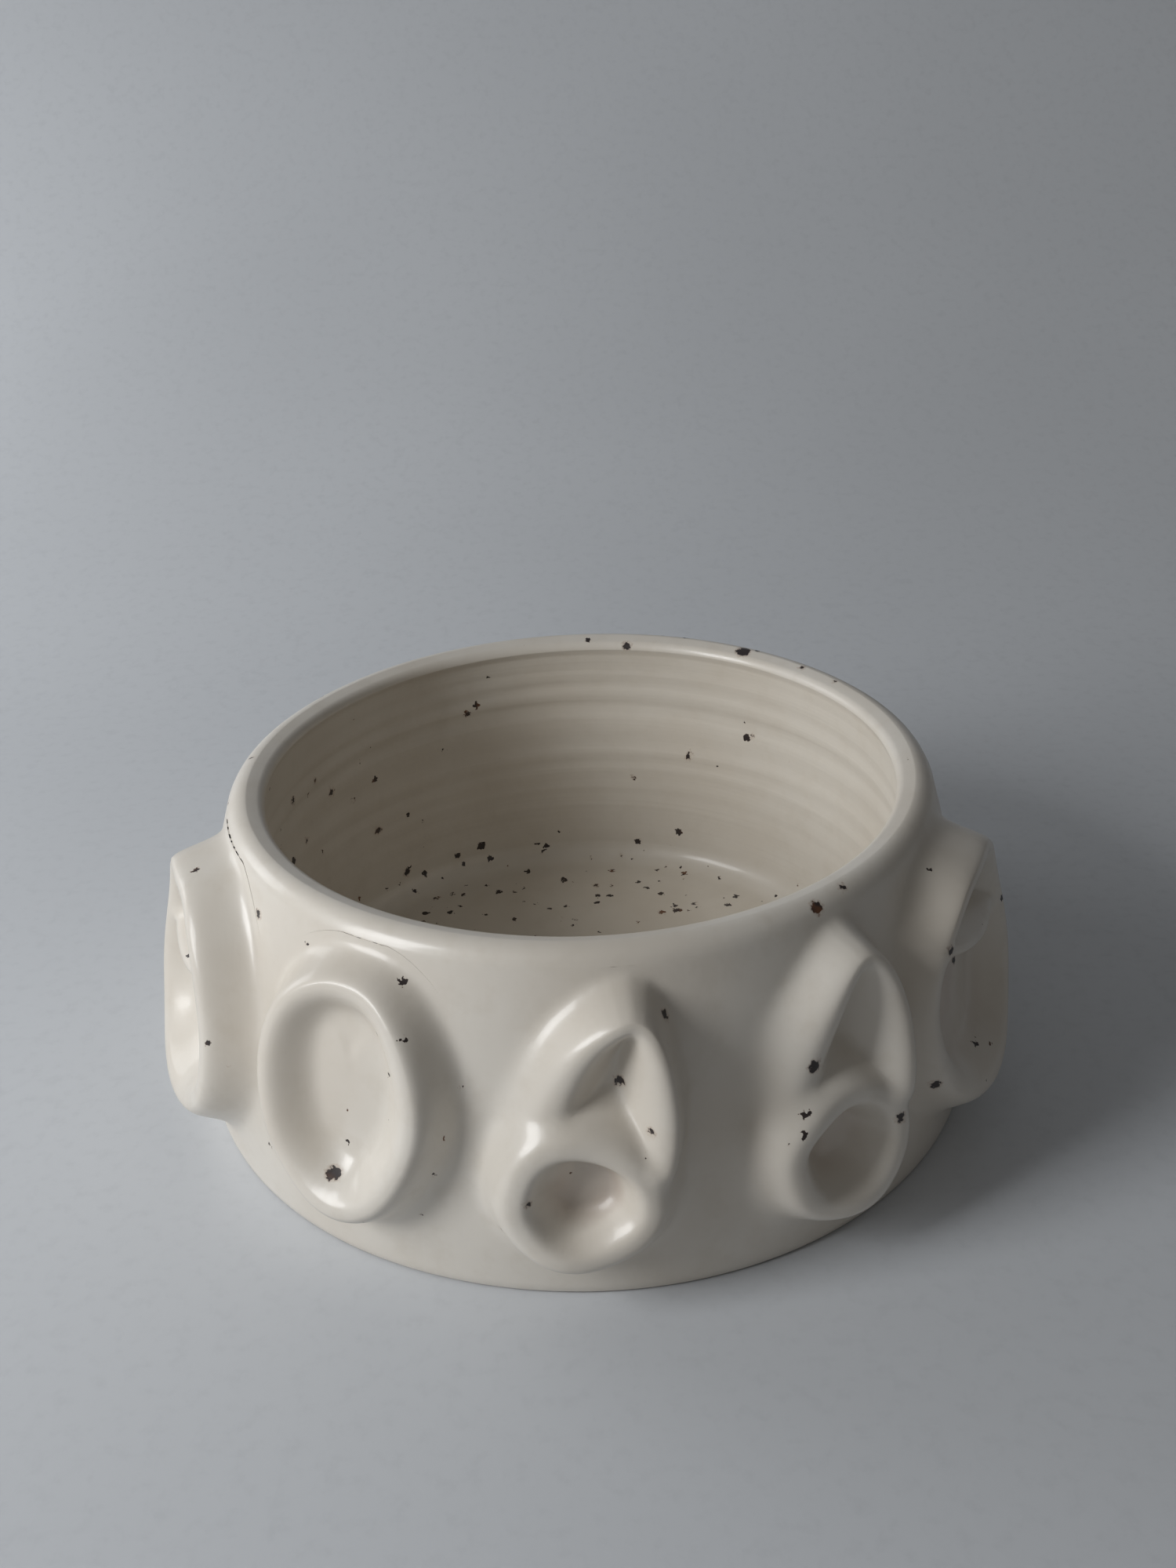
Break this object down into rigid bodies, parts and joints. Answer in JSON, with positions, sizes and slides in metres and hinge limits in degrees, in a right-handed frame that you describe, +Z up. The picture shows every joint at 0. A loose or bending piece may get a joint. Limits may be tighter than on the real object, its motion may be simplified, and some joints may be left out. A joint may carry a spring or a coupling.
{
  "type": "relief-decorated ceramic bowl",
  "caption": "Low straight-sided thrown stoneware bowl with a rounded lip and a band of raised coil relief round its flared wall, for holding yarn or small things.",
  "frame": {"origin": "centre of the underside, at the height of the foot ring's standing face", "axes": "+Z up along the wheel axis; -Y is the front, +X the viewer's right"},
  "size_m": [0.1832, 0.1882, 0.069],
  "materials": {
    "glaze": "gloss"
  },
  "bodies": {
    "root": {"thrown_bowl": "glaze", "pod_coil_1": "glaze", "pod_coil_2": "glaze", "pod_coil_3": "glaze", "pod_bridge_1": "glaze", "pod_bridge_2": "glaze", "pod_bridge_3": "glaze", "drop_coil_1": "glaze", "drop_coil_2": "glaze", "bud_ring_1": "glaze", "bud_ring_2": "glaze", "bud_ring_3": "glaze", "bud_arch_1": "glaze", "bud_arch_2": "glaze", "bud_arch_3": "glaze"}
  },
  "joints": []
}
